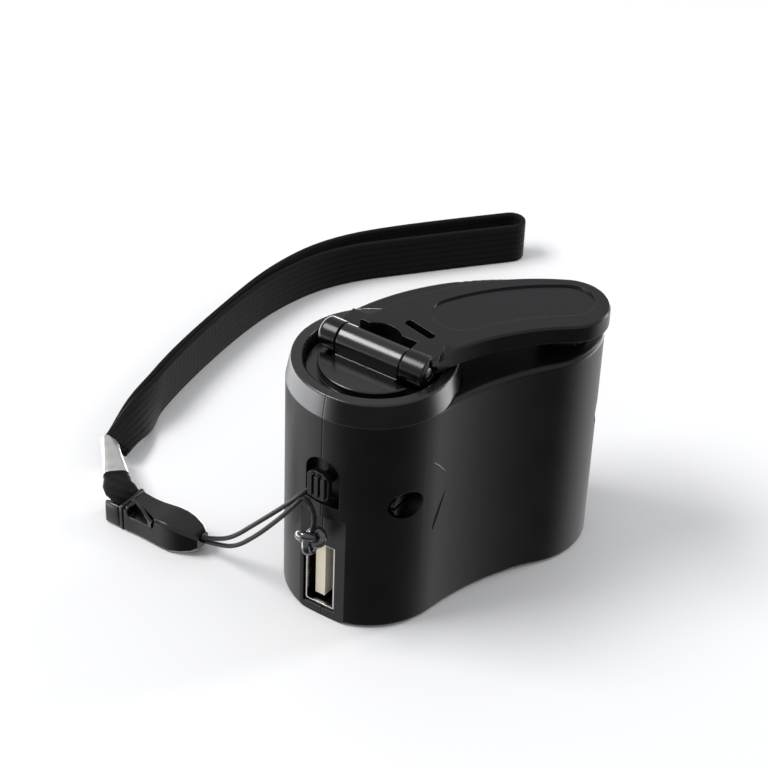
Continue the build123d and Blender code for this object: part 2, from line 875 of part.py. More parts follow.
def crank_arm():
    """Curved plate of the arm beyond its knuckles, with relief slot and sunk panel."""
    root = (arm_root_x, arm_root_y)
    tip = (arm_tip_x, arm_tip_y)
    plan = kidney(root, arm_root_radius, tip, arm_tip_radius, arm_hollow_radius, arm_full_radius)
    arm = raise_face(plan, arm_bottom, arm_top)
    arm = chamfer(arm.edges().group_by(Axis.Z)[-1], arm_edge_chamfer)
    web_height = (arm_bottom, arm_bottom + far_web_thickness)
    arm += block((0, far_web_reach), (far_web_near, far_web_far), web_height)
    tall = (0, 2 * arm_top)
    arm -= block((-2 * arm_root_radius, 0), around(arm_root_y, 4 * arm_root_radius), tall)
    arm -= block((-1, root_notch_x), (-knuckle_start, knuckle_start), tall)
    arm -= cylinder(root_notch_radius, 0, 2 * arm_top)
    arm -= collar_sweep()
    slot = SlotOverall(slot_length, slot_width, rotation=slot_turn)
    arm -= Pos(slot_x, slot_y) * raise_face(slot, 0, 2 * arm_top)
    arm -= raise_face(arm_panel(), arm_top - panel_depth, arm_top + 1)
    arm -= cylinder(knob_pin_radius, 0, arm_bottom + knob_pin_grip, knob_x, knob_y)
    return arm - knuckle_pair() - pin_way()


def knob():
    """Finger knob with grooves all round and a recess below for the pin's head."""
    top = arm_bottom - knob_gap
    bottom = top - knob_height
    body = cylinder(knob_radius, bottom, top)
    body = chamfer(body.edges().group_by(Axis.Z)[0], knob_edge_chamfer)
    groove = cylinder(knob_groove_radius, bottom - 1, top + 1, knob_radius)
    for turn in range(knob_grooves):
        body -= Rot(0, 0, turn * 360 / knob_grooves) * groove
    head_radius = knob_pin_head_radius + knob_pin_head_gap
    recess = knob_pin_head_height + 2 * knob_pin_head_gap
    body -= cylinder(head_radius, bottom - 1, bottom + recess)
    body -= cylinder(knob_pin_radius + running_clearance, bottom, top + 1)
    return Pos(knob_x, knob_y) * body


def knob_pin():
    """Headed pin pressed into the arm, on which the knob turns."""
    head_bottom = arm_bottom - knob_gap - knob_height + knob_pin_head_gap
    head_top = head_bottom + knob_pin_head_height
    pin = cylinder(knob_pin_head_radius, head_bottom, head_top)
    pin += cylinder(knob_pin_radius, head_bottom, arm_bottom + knob_pin_grip)
    return Pos(knob_x, knob_y) * pin


def usb_shell():
    """Folded steel shell of the socket, open at both ends."""
    y_range = around(socket_y, socket_width)
    z_range = (socket_bottom, socket_bottom + socket_height)
    shell = block((socket_front, socket_back), y_range, z_range)
    inner_y = around(socket_y, socket_width - 2 * socket_wall)
    inner_z = (socket_bottom + socket_wall, socket_bottom + socket_height - socket_wall)
    return shell - block((socket_front - 1, socket_back + 1), inner_y, inner_z)


def usb_insulator():
    """Moulded block at the back of the socket, with the contact tongue."""
    inner_y = around(socket_y, socket_width - 2 * socket_wall)
    inner_z = (socket_bottom + socket_wall, socket_bottom + socket_height - socket_wall)
    back = block((socket_back - insulator_back, socket_back), inner_y, inner_z)
    middle_z = socket_bottom + socket_height / 2
    tongue_y = around(socket_y + tongue_shift, tongue_thickness)
    tongue_x = (socket_front + tongue_setback, socket_back)
    return back + block(tongue_x, tongue_y, around(middle_z, tongue_height))


def usb_contacts():
    """Flat contacts along the tongue's near face."""
    face = socket_y + tongue_shift - tongue_thickness / 2
    middle_z = socket_bottom + socket_height / 2
    end = socket_back - insulator_back
    contacts = []
    for number in range(contact_count):
        height = middle_z + (number - (contact_count - 1) / 2) * contact_pitch
        depth = (face - contact_thickness, face)
        contacts.append(block((end - contact_length, end), depth, around(height, contact_width)))
    return Compound(contacts)


def circuit_board():
    """Board upright against the case's ribs, with the socket on its near face."""
    return block((board_front, board_back), (board_near, board_far), (wall, board_top))


def capacitor():
    """Can capacitor lying off the board's near face."""
    start = board_near - capacitor_length
    return bar_along_y(capacitor_radius, start, board_near, capacitor_x, capacitor_z)


def regulator_chip():
    """Regulator on the board's far face."""
    depth = (board_far, board_far + chip_thickness)
    return block(around(chip_x, chip_length), depth, around(chip_z, chip_width))


def inductor():
    """Coil on the board's far face."""
    depth = (board_far, board_far + coil_height)
    coil = block(around(coil_x, coil_size), depth, around(coil_z, coil_size))
    return chamfer(coil.edges().filter_by(Axis.Y), coil_chamfer)


def rectifier_diodes():
    """Row of diodes on the board's near face."""
    depth = (board_near - diode_thickness, board_near)
    diodes = []
    for number in range(diode_count):
        height = around(diode_z + number * diode_pitch, diode_width)
        diodes.append(block(around(diode_x, diode_length), depth, height))
    return Compound(diodes)


def rounded_path(points):
    """Straight runs joined by tangent arcs as large as the runs allow, and their radii."""
    points = [Vector(*point) for point in points]
    runs = [after - before for before, after in zip(points, points[1:])]
    radii = []
    for before, after in zip(runs, runs[1:]):
        half_turn = radians(before.get_angle(after)) / 2
        radii.append(0.45 * min(before.length, after.length) / tan(half_turn))
    return Wire(FilletPolyline(*points, radius=radii).edges()), radii


def tube(name, points, radius):
    """Round tube along a rounded path."""
    path, radii = rounded_path(points)
    start = Plane(origin=path @ 0, z_dir=path % 0)
    solid = sweep(start * Circle(radius), path=path)
    ratio = solid.volume / (pi * radius**2 * path.length)
    sizes = ", ".join(f"{value:.1f}" for value in radii)
    print(f"{name}: length {path.length:.1f}, arc radii {sizes}, volume ratio {ratio:.4f}")
    return solid


def generator_leads():
    """Two leads from the generator's terminals to the board's end."""
    leads = []
    for side, height, bends in zip((-1, 1), lead_heights, lead_bends):
        start = (terminal_x(side), generator_place[1] + terminal_offset, terminal_bottom - lead_gap)
        end = (board_back + lead_radius, board_near + board_thickness / 2, height)
        leads.append(tube("generator lead", [start, *bends, end], lead_radius))
    return Compound(leads)


def lanyard_stud():
    """Ribbed head on a stem, held by a flange behind the pocket's back wall."""
    plate_face = -front_radius - stud_proud + stud_rib_height
    top = stud_stem_height + stud_length / 2
    bottom = top - stud_length
    head = block((plate_face, plate_face + stud_thickness), around(0, stud_width), (bottom, top))
    head = fillet(head.edges().filter_by(Axis.X), stud_corner_radius)
    rib_x = (plate_face - stud_rib_height, plate_face)
    rib_z = (bottom + stud_rib_margin, top - stud_rib_margin)
    for rib in range(stud_ribs):
        rib_y = around((rib - (stud_ribs - 1) / 2) * stud_rib_pitch, stud_rib_width)
        head += block(rib_x, rib_y, rib_z)
    back = -front_radius + pocket_depth + pocket_backing
    stem_end = back + stud_flange_thickness
    head += bar_along_x(stud_stem_radius, plate_face, stem_end, 0, stud_stem_height)
    head += bar_along_x(stud_flange_radius, back, stem_end, 0, stud_stem_height)
    return head


def lanyard_cord():
    """Two strands from the buckle: one to the stud's stem, one to the knot."""
    strands = [tube("cord to stud", cord_to_stud, cord_radius)]
    strands.append(tube("cord to knot", cord_to_knot, cord_radius))
    return Compound(strands)


def cord_knot():
    """Knot in the doubled cord."""
    return Pos(*knot_place) * Sphere(knot_radius)


def buckle_face(y, width, height):
    """Rounded upright section of the buckle, facing the cord."""
    plane = Plane(origin=(0, y, buckle_height / 2), x_dir=(1, 0, 0), z_dir=(0, -1, 0))
    return plane * RectangleRounded(width, height, buckle_edge_fillet)


def buckle_socket():
    """Buckle's socket: a tapered nose for the cord, and side windows for the prongs."""
    middle = buckle_height / 2
    body_start = buckle_front + nose_length
    body_end = body_start + socket_body_length
    root = buckle_face(body_start, buckle_width, buckle_height)
    body = extrude(root, -socket_body_length)
    body += loft([root, buckle_face(buckle_front, nose_width, nose_height)], ruled=True)
    inner_x = around(0, buckle_width - 2 * buckle_wall)
    inner_z = (buckle_wall, buckle_height - buckle_wall)
    body -= block(inner_x, (body_start + buckle_wall, body_end + 1), inner_z)
    window_end = body_end - window_setback
    window_y = (window_end - window_length, window_end)
    body -= block(around(0, 2 * buckle_width), window_y, around(middle, window_height))
    return Pos(buckle_x, 0) * body


def buckle_plug():
    """Buckle's plug: prongs and spine in the socket, and a bar for the strap."""
    base = extrude(buckle_face(plug_end, buckle_width, buckle_height), plug_base_length)
    slot_end = plug_end - bar_thickness
    slot_x = around(0, buckle_width - 2 * buckle_wall)
    base -= block(slot_x, (slot_end - bar_slot_length, slot_end), (-1, buckle_height + 1))
    inner = buckle_width / 2 - buckle_wall - plug_gap
    reach = (plug_start - prong_length, plug_start)
    prong_z = around(buckle_height / 2, window_height - 2 * plug_gap)
    barb_middle = plug_start - plug_gap - window_setback - window_length / 2
    for side in (-1, 1):
        base += block((side * inner, side * (inner - prong_width)), reach, prong_z)
        barb_x = (side * inner, side * (inner + prong_barb))
        base += block(barb_x, around(barb_middle, window_length / 2), prong_z)
    base += block(around(0, spine_width), reach, prong_z)
    return Pos(buckle_x, 0) * base


def strap_start():
    """Plane at the near end of the strap, looking along it, with its x upwards."""
    first, second = (Vector(*point) for point in strap_route[:2])
    return Plane(origin=first, x_dir=(0, 0, 1), z_dir=second - first)


def wrist_strap():
    """Strap loop beyond the crimp, and the webbing between the crimp and the buckle."""
    path, radii = rounded_path(strap_route)
    print(f"strap: length {path.length:.1f}, smallest radius {min(radii):.1f}")
    section = strap_start() * Pos(strap_height / 2, 0) * Rectangle(strap_height, strap_thickness)
    band = sweep(section, path=path)
    band += cylinder(strap_end_radius, 0, strap_height, *strap_route[-1])
    middle = strap_height / 2
    crimp_face = strap_start() * Pos(middle, 0, -crimp_length - strap_gap)
    bar_plane = Plane(
        origin=(buckle_x, plug_end + strap_gap, buckle_height / 2),
        x_dir=(1, 0, 0),
        z_dir=(0, -1, 0),
    )
    tail_faces = [
        crimp_face * Rot(180, 0, 0) * Rectangle(tail_width, tail_thickness),
        bar_plane * Rectangle(tail_width, tail_thickness),
    ]
    return Compound([band, loft(tail_faces, ruled=True)])


def strap_crimp():
    """Metal crimp folded round the strap's two plies."""
    height = strap_height + crimp_wall
    section = Rectangle(height, strap_thickness + 2 * crimp_wall)
    return extrude(strap_start() * Pos(height / 2, 0) * section, -crimp_length)


shell = case_shell()
near = near_side()
nodes = {
    "right_case_half": shell & near,
    "left_case_half": shell - near,
    "hub_collar": hub_collar(),
    "case_screws": case_screws(),
    "upper_shaft_bush": shaft_bush(upper_bush_bottom, deck_height),
    "lower_shaft_bush": shaft_bush(lower_bush_bottom, gear_plate_top),
    "gear_plate": gear_plate(),
    "idler_pins": idler_pins(),
    "generator_can": generator_can(),
    "generator_end_cap": generator_end_cap(),
    "generator_magnets": generator_magnets(),
    "generator_bush": generator_bush(),
    "generator_terminals": generator_terminals(),
    "generator_leads": generator_leads(),
    "usb_shell": usb_shell(),
    "usb_insulator": usb_insulator(),
    "usb_contacts": usb_contacts(),
    "circuit_board": circuit_board(),
    "capacitor": capacitor(),
    "rectifier_diodes": rectifier_diodes(),
    "regulator_chip": regulator_chip(),
    "inductor": inductor(),
    "lanyard_stud": lanyard_stud(),
    "crank_hub": crank_hub(),
    "crank_shaft": crank_shaft(),
    "drive_gear": drive_gear(),
    "shaft_clip": shaft_clip(),
    "hinge_pin": hinge_pin(),
    "arm_knuckles": arm_knuckles(),
    "crank_arm": crank_arm(),
    "knob_pin": knob_pin(),
    "knob": knob(),
    "idler_gear_1": first_idler_gear(),
    "idler_gear_2": second_idler_gear(),
    "generator_shaft": generator_shaft(),
    "rotor_core": rotor_core(),
    "rotor_windings": rotor_windings(),
    "generator_pinion": generator_pinion(),
}
strap_nodes = {
    "lanyard_cord": lanyard_cord(),
    "cord_knot": cord_knot(),
    "buckle_socket": buckle_socket(),
    "buckle_plug": buckle_plug(),
    "strap_crimp": strap_crimp(),
    "wrist_strap": wrist_strap(),
}

# Origin at the bottom centre of the charger without its strap.
boxes = [shape.bounding_box() for shape in nodes.values()]
low_x, high_x = min(box.min.X for box in boxes), max(box.max.X for box in boxes)
low_y, high_y = min(box.min.Y for box in boxes), max(box.max.Y for box in boxes)
height = max(box.max.Z for box in boxes)
move = Pos(-(low_x + high_x) / 2, -(low_y + high_y) / 2)
print(f"crank axis at x {move.position.X:.4f}, y {move.position.Y:.4f}")
print(f"charger {high_x - low_x:.2f} x {high_y - low_y:.2f} x {height:.2f}")
os.makedirs("parts", exist_ok=True)
for name, shape in (nodes | strap_nodes).items():
    export_step(move * shape, f"parts/{name}.step")
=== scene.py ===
from math import cos, pi, radians, sin

import bmesh
import bpy
from mathutils import Matrix, Vector


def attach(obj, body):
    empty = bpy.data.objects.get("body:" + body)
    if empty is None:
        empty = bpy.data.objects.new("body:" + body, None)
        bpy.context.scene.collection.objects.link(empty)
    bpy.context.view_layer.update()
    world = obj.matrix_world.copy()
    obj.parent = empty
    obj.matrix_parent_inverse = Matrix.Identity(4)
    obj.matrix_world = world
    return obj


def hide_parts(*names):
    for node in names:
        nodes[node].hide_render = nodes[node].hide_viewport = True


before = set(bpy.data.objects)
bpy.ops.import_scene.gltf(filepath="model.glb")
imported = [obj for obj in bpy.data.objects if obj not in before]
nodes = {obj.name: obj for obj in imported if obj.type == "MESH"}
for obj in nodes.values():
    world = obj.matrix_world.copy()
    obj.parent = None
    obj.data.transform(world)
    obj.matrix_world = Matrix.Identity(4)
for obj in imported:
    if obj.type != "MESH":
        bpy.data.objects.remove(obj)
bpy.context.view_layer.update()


# ---------------------------------------------------------------- camera
# A long lens looks down on the charger's round front from the left, with the hollow
# near side turned a little towards it. All places are in millimetres from the crank's
# axis and the table, and at() moves them to the charger's own frame, in metres.
crank_x, crank_y = -12.1, 5.976


def at(x, y, z):
    """Place given in millimetres from the crank's axis, as metres in the charger's frame."""
    return Vector((x + crank_x, y + crank_y, z)) / 1000


view_turn, view_rise, view_roll = radians(-57.2357), radians(36.0), radians(2.2635)
view_aim = at(28.1235, 16.158, 15.75)
view_distance = 0.395056
focal_length = 105.162
view_back = Vector(
    (sin(view_turn) * cos(view_rise), -cos(view_turn) * cos(view_rise), sin(view_rise))
)
level = Vector((cos(view_turn), sin(view_turn), 0))
upright = view_back.cross(level)
view_right = level * cos(view_roll) + upright * sin(view_roll)
view_up = upright * cos(view_roll) - level * sin(view_roll)
lens = bpy.data.cameras.new("camera")
lens.lens = focal_length
lens.sensor_width = 36
lens.clip_start = 0.01
camera = bpy.data.objects.new("camera", lens)
camera.matrix_world = (
    Matrix.Translation(view_aim + view_back * view_distance)
    @ Matrix((view_right, view_up, view_back)).transposed().to_4x4()
)
bpy.context.collection.objects.link(camera)
bpy.context.scene.camera = camera


# ------------------------------------------------------- lanyard cord
# A thin braided cord is looped round the stud and tied off in a knot under it. Both
# strands run down to the buckle's nose. It is polyester braid with a slight sheen.
def linear(shade):
    """Linear colour of an sRGB hex value."""
    parts = [int(shade[n : n + 2], 16) / 255 for n in (1, 3, 5)]
    return (*[p / 12.92 if p <= 0.04045 else ((p + 0.055) / 1.055) ** 2.4 for p in parts], 1)


def add(tree, kind, links=None, **settings):
    """Adds a node with its settings; links maps a socket to a value or to an output."""
    node = tree.nodes.new(kind)
    for name, value in settings.items():
        setattr(node, name, value)
    for socket, value in (links or {}).items():
        if isinstance(value, bpy.types.NodeSocket):
            tree.links.new(value, node.inputs[socket])
        else:
            node.inputs[socket].default_value = value
    return node


def blank_material(name):
    """Material with only its shader and output, and its node tree."""
    made = bpy.data.materials.new(name)
    made.use_nodes = True
    tree = made.node_tree
    tree.nodes.clear()
    shader = add(tree, "ShaderNodeBsdfPrincipled")
    add(tree, "ShaderNodeOutputMaterial", {"Surface": shader.outputs[0]})
    return made, tree, shader


def polyester_braid():
    """Black braid: the plait is 0.45 mm long and gives the cord small diagonal glints."""
    made, tree, shader = blank_material("polyester_braid")
    place = add(tree, "ShaderNodeTexCoord").outputs["Object"]
    plait = add(
        tree, "ShaderNodeTexWave", {"Vector": place, "Scale": 350, "Distortion": 3},
        bands_direction="DIAGONAL",
    )
    # Painted shade: the colour follows the plait, darker in its hollows where the bump sinks.
    colour = add(
        tree, "ShaderNodeMix",
        {0: plait.outputs[1], 6: linear("#08080a"), 7: linear("#17181b")},
        data_type="RGBA",
    )
    bump = add(
        tree, "ShaderNodeBump",
        {"Height": plait.outputs[1], "Strength": 0.35, "Distance": 0.00006},
    )
    tree.links.new(colour.outputs[2], shader.inputs["Base Color"])
    tree.links.new(bump.outputs[0], shader.inputs["Normal"])
    shader.inputs["Roughness"].default_value = 0.5
    shader.inputs["Specular IOR Level"].default_value = 0.3
    return made


def cord_strand(name, route, diameter, material):
    """Round cord along a smooth line through its route, in the charger's frame."""
    line = bpy.data.curves.new(name, "CURVE")
    line.dimensions = "3D"
    spline = line.splines.new("NURBS")
    spline.points.add(len(route) - 1)
    for point, place in zip(spline.points, route):
        point.co = (*at(*place), 1)
    spline.order_u = 3
    spline.use_endpoint_u = True
    spline.resolution_u = 12
    line.bevel_depth = diameter / 2000
    line.bevel_resolution = 5
    line.use_fill_caps = True
    line.materials.append(material)
    strand = bpy.data.objects.new(name, line)
    bpy.context.collection.objects.link(strand)
    return strand


cord_diameter = 0.8
braid = polyester_braid()
to_stud_route = [
    (-12.4, 25.6, 3.3),
    (-12.4, 22.6, 4.4),
    (-12.9, 18.6, 7.0),
    (-13.8, 13.2, 13.2),
    (-15.0, 8.2, 19.0),
    (-15.5, 5.0, 22.8),
    (-15.2, 3.0, 25.2),
    (-14.2, 1.5, 26.9),
    (-13.2, 1.2, 27.3),
]
to_knot_route = [
    (-12.2, 25.6, 2.5),
    (-12.3, 22.3, 3.3),
    (-12.9, 18.0, 5.3),
    (-14.0, 12.8, 11.0),
    (-15.3, 8.0, 17.2),
    (-16.0, 5.0, 21.3),
    (-15.9, 3.2, 24.0),
    (-15.4, 2.4, 25.0),
    (-15.4, 0.9, 24.2),
    (-15.8, -0.1, 22.4),
    (-16.4, -0.2, 20.4),
    (-16.5, 0.0, 18.9),
]
to_stud = cord_strand("cord_to_stud", to_stud_route, cord_diameter, braid)
to_knot = cord_strand("cord_to_knot", to_knot_route, cord_diameter, braid)
for strand in (to_stud, to_knot):
    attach(strand, "case")
    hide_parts("lanyard_cord")


# ---------------------------------------------------------------- knot
# The loop's ends are tied in a tight overhand knot under the stud. The cord is pulled
# hard there, so it is flattened, smooth and shiny.
def pulled_braid_painted_sheen():
    """Braid pulled tight: smoother than the free cord, so it catches broad highlights; its
    colour is painted lighter and bluer than the free cord's as a sheen, and darker in the
    plait's hollows as painted shade.
    """
    made, tree, shader = blank_material("pulled_polyester_braid_painted_sheen")
    place = add(tree, "ShaderNodeTexCoord").outputs["Object"]
    plait = add(
        tree, "ShaderNodeTexWave", {"Vector": place, "Scale": 420, "Distortion": 2},
        bands_direction="DIAGONAL",
    )
    # Painted sheen and shade: the colour runs from dark in the plait's hollows to a light
    # bluish grey on its crowns.
    colour = add(
        tree, "ShaderNodeMix",
        {0: plait.outputs[1], 6: linear("#0c0d10"), 7: linear("#2c2e35")},
        data_type="RGBA",
    )
    bump = add(
        tree, "ShaderNodeBump",
        {"Height": plait.outputs[1], "Strength": 0.2, "Distance": 0.00004},
    )
    tree.links.new(colour.outputs[2], shader.inputs["Base Color"])
    tree.links.new(bump.outputs[0], shader.inputs["Normal"])
    shader.inputs["Roughness"].default_value = 0.17
    shader.inputs["Specular IOR Level"].default_value = 1.0
    shader.inputs["Coat Weight"].default_value = 1.0
    shader.inputs["Coat Roughness"].default_value = 0.08
    return made


knot_middle = (-16.6, 0.0, 18.3)
knot_size = 0.72
knot_points = 18
knot_cord_radius = 0.00074
knot_line = bpy.data.curves.new("cord_knot_turns", "CURVE")
knot_line.dimensions = "3D"
turns = knot_line.splines.new("NURBS")
turns.points.add(knot_points - 1)
for number, point in enumerate(turns.points):
    angle = 2 * pi * number / knot_points
    across = knot_size * (sin(angle) + 2 * sin(2 * angle))
    upward = knot_size * (cos(angle) - 2 * cos(2 * angle))
    outward = -1.25 * knot_size * sin(3 * angle)
    middle = Vector(knot_middle)
    middle += Vector((-0.75 * outward - 0.6 * across, 0.8 * across - 0.6 * outward, upward))
    point.co = (*at(*middle), 1)
turns.order_u = 4
turns.use_cyclic_u = True
turns.resolution_u = 8
knot_line.bevel_depth = knot_cord_radius
knot_line.bevel_resolution = 5
knot_line.materials.append(pulled_braid_painted_sheen())
knot = bpy.data.objects.new("cord_knot_turns", knot_line)
bpy.context.collection.objects.link(knot)
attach(knot, "case")
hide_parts("cord_knot")


# ------------------------------------------------------------- buckle
# A small side-release buckle in black acetal, moulded in two pieces. The socket tapers
# to a nose for the cord, and the plug's left prong shows in a long opening in its top.
def moulded_plastic(name, shades, roughness, grain, specular, edge=0.12, parting=None):
    """Moulded plastic with cloudy gloss, fine texture and edges worn smooth and glossier by
    hands, and painted lighter there as a highlight.

    grain is the mould texture's size in millimetres, and parting is the slope of the
    line where two mouldings meet, past the crank's axis.
    """
    made, tree, shader = blank_material(name)
    place = add(tree, "ShaderNodeTexCoord").outputs["Object"]
    cloud = add(tree, "ShaderNodeTexNoise", {"Vector": place, "Scale": 140, "Detail": 4})
    pits = add(
        tree, "ShaderNodeTexNoise", {"Vector": place, "Scale": 1000 / grain, "Detail": 1}
    )
    soft = add(tree, "ShaderNodeBevel", {"Radius": edge / 1000}, samples=6)
    sharp = add(tree, "ShaderNodeNewGeometry")
    turned = add(
        tree, "ShaderNodeVectorMath", {0: soft.outputs[0], 1: sharp.outputs["Normal"]},
        operation="DOT_PRODUCT",
    )
    worn_edge_and_highlight = add(
        tree, "ShaderNodeMapRange",
        {0: turned.outputs["Value"], 1: 0.995, 2: 0.8, 3: 0.0, 4: 1.0},
    )
    mottled = add(
        tree, "ShaderNodeMix",
        {0: cloud.outputs[0], 6: linear(shades[0]), 7: linear(shades[1])},
        data_type="RGBA",
    )
    # Painted highlight: the edges are drawn in the third, lightest shade.
    colour = add(
        tree, "ShaderNodeMix",
        {0: worn_edge_and_highlight.outputs[0], 6: mottled.outputs[2], 7: linear(shades[2])},
        data_type="RGBA",
    )
    gloss = add(
        tree, "ShaderNodeMapRange",
        {0: cloud.outputs[0], 1: 0.3, 2: 0.7, 3: roughness - 0.03, 4: roughness + 0.04},
    )
    worn = add(
        tree, "ShaderNodeMath",
        {0: worn_edge_and_highlight.outputs[0], 1: -0.08, 2: gloss.outputs[0]},
        operation="MULTIPLY_ADD",
    )
    bump = add(
        tree, "ShaderNodeBump",
        {"Height": pits.outputs[0], "Strength": 0.12, "Distance": 0.00003,
         "Normal": soft.outputs[0]},
    )
    if parting is None:
        tree.links.new(colour.outputs[2], shader.inputs["Base Color"])
        tree.links.new(bump.outputs[0], shader.inputs["Normal"])
    else:
        split = add(tree, "ShaderNodeSeparateXYZ", {0: place})
        along = add(
            tree, "ShaderNodeMath", {0: split.outputs[0], 1: -crank_x / 1000},
            operation="ADD",
        )
        beyond = add(
            tree, "ShaderNodeMath", {0: along.outputs[0], 1: 0.0}, operation="MAXIMUM"
        )
        line = add(
            tree, "ShaderNodeMath", {0: beyond.outputs[0], 1: parting, 2: crank_y / 1000},
            operation="MULTIPLY_ADD",
        )
        off = add(
            tree, "ShaderNodeMath", {0: split.outputs[1], 1: line.outputs[0]},
            operation="SUBTRACT",
        )
        gap = add(tree, "ShaderNodeMath", {0: off.outputs[0]}, operation="ABSOLUTE")
        seam = add(
            tree, "ShaderNodeMapRange",
            {0: gap.outputs[0], 1: 0.00006, 2: 0.00016, 3: 1.0, 4: 0.0},
            interpolation_type="SMOOTHSTEP",
        )
        lined = add(
            tree, "ShaderNodeMix",
            {0: seam.outputs[0], 6: colour.outputs[2], 7: linear("#020203")},
            data_type="RGBA",
        )
        groove = add(
            tree, "ShaderNodeBump",
            {"Height": seam.outputs[0], "Strength": 1.0, "Distance": 0.0001,
             "Normal": bump.outputs[0]},
            invert=True,
        )
        tree.links.new(lined.outputs[2], shader.inputs["Base Color"])
        tree.links.new(groove.outputs[0], shader.inputs["Normal"])
    tree.links.new(worn.outputs[0], shader.inputs["Roughness"])
    shader.inputs["Specular IOR Level"].default_value = specular
    return made


def piece_from(name, shape, material, smooth=40):
    """Object from a finished bmesh, with normals outwards and its sharp edges kept."""
    bmesh.ops.remove_doubles(shape, verts=shape.verts, dist=1e-7)
    bmesh.ops.recalc_face_normals(shape, faces=shape.faces)
    for face in shape.faces:
        face.smooth = True
    for edge in shape.edges:
        edge.smooth = len(edge.link_faces) == 2 and edge.calc_face_angle() < radians(smooth)
    mesh = bpy.data.meshes.new(name)
    shape.to_mesh(mesh)
    shape.free()
    mesh.materials.append(material)
    piece = bpy.data.objects.new(name, mesh)
    bpy.context.collection.objects.link(piece)
    return piece


def lofted(rings):
    """bmesh through rings of places, each ring bridged to the next, its ends filled."""
    shape = bmesh.new()
    loops = []
    for ring in rings:
        verts = [shape.verts.new(at(*place)) for place in ring]
        pairs = zip(verts, verts[1:] + verts[:1])
        loops.append([shape.edges.new(pair) for pair in pairs])
    for first, second in zip(loops, loops[1:]):
        bmesh.ops.bridge_loops(shape, edges=first + second)
    bmesh.ops.contextual_create(shape, geom=loops[0])
    bmesh.ops.contextual_create(shape, geom=loops[-1])
    return shape


buckle_acetal = moulded_plastic(
    "acetal_black", ("#050506", "#09090b", "#1c1e22"), 0.2, 0.3, 0.6, edge=0.22
)
# Stations along the socket, nose first: place, middle, half width, bottom and top, and
# how far the prong's opening cuts into the top from the left side.
socket_stations = [
    (25.4, -12.2, 1.5, 1.3, 3.9, 0.0),
    (26.4, -12.3, 2.1, 0.7, 4.6, 0.0),
    (28.2, -12.5, 2.7, 0.2, 5.2, 0.0),
    (30.0, -12.8, 3.0, 0.0, 5.6, 0.0),
    (32.0, -12.9, 2.95, 0.0, 5.7, 0.0),
    (33.0, -12.9, 2.9, 0.0, 5.55, 0.0),
    (33.3, -12.9, 2.9, 0.0, 5.5, 0.5),
    (35.0, -12.85, 2.85, 0.0, 5.25, 1.3),
    (36.8, -12.8, 2.85, 0.0, 5.1, 2.0),
    (38.6, -12.75, 2.95, 0.0, 5.1, 2.6),
    (39.0, -12.75, 3.0, 0.0, 5.1, 0.0),
    (39.6, -12.7, 3.05, 0.0, 5.15, 0.0),
]
corner = 0.55
opening_depth = 1.5
rings = []
for y, middle, half, low, high, cut in socket_stations:
    sill = high - opening_depth if cut else high - corner
    left, right = middle - half, middle + half
    inner = left + cut if cut else left + 0.02
    ring = [(left + corner, low), (right - corner, low), (right, low + corner)]
    ring += [(right, high - corner), (right - corner, high)]
    ring += [(max(inner, left + corner), high), (inner, sill + 0.02), (left, sill)]
    ring += [(left, low + corner)]
    rings.append([(x, y, z) for x, z in ring])
socket = lofted(rings)
buckle_socket = piece_from("buckle_socket_shell", socket, buckle_acetal, smooth=30)
rounding = buckle_socket.modifiers.new("moulded_edges", "BEVEL")
rounding.width = 0.00018
rounding.segments = 3
rounding.limit_method = "ANGLE"
rounding.angle_limit = radians(32)
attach(buckle_socket, "case")
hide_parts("buckle_socket")


# --------------------------------------------------------- buckle plug
# The plug's base closes the socket with a rib across its top, and its bar holds the
# webbing. Its left prong, the one in sight, bows out into the socket's opening.
def rounded_bar(low, high, rounding):
    """bmesh of a bar between two corners, its edges rounded."""
    shape = bmesh.new()
    low, high = at(*low), at(*high)
    size = high - low
    place = Matrix.Translation((low + high) / 2) @ Matrix.Diagonal((*size, 1))
    bmesh.ops.create_cube(shape, size=1, matrix=place)
    bmesh.ops.bevel(
        shape, geom=shape.edges[:], offset=rounding / 1000, offset_type="OFFSET",
        affect="EDGES", segments=3, profile=0.5, material=-1, clamp_overlap=True,
    )
    return shape


def joined(shapes):
    """One bmesh from several."""
    whole = bmesh.new()
    for shape in shapes:
        mesh = bpy.data.meshes.new("part")
        shape.to_mesh(mesh)
        shape.free()
        whole.from_mesh(mesh)
        bpy.data.meshes.remove(mesh)
    return whole


plug_left, plug_right = -15.75, -9.65
plug_parts = [
    rounded_bar((plug_left, 39.75, 0.0), (plug_right, 40.75, 5.2), 0.35),
    rounded_bar((plug_left, 40.6, 0.2), (plug_left + 0.9, 43.9, 4.7), 0.42),
    rounded_bar((plug_right - 0.9, 40.6, 0.2), (plug_right, 43.9, 4.7), 0.42),
    rounded_bar((plug_left + 0.3, 42.7, 1.2), (plug_right - 0.3, 43.9, 4.2), 0.5),
]
prong_route = [(-12.9, 39.9), (-13.0, 38.9), (-13.6, 37.4)]
prong_route += [(-14.5, 35.7), (-15.2, 34.4), (-15.6, 33.4)]
prong_section = [(-0.5, 3.7), (0.25, 3.7), (0.25, 5.0), (-0.1, 5.15), (-0.5, 4.9)]
bow = [[(x + across, y, z) for across, z in prong_section] for x, y in prong_route]
plug_parts.append(lofted(bow))
buckle_plug = piece_from("buckle_plug_frame", joined(plug_parts), buckle_acetal)
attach(buckle_plug, "case")
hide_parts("buckle_plug")


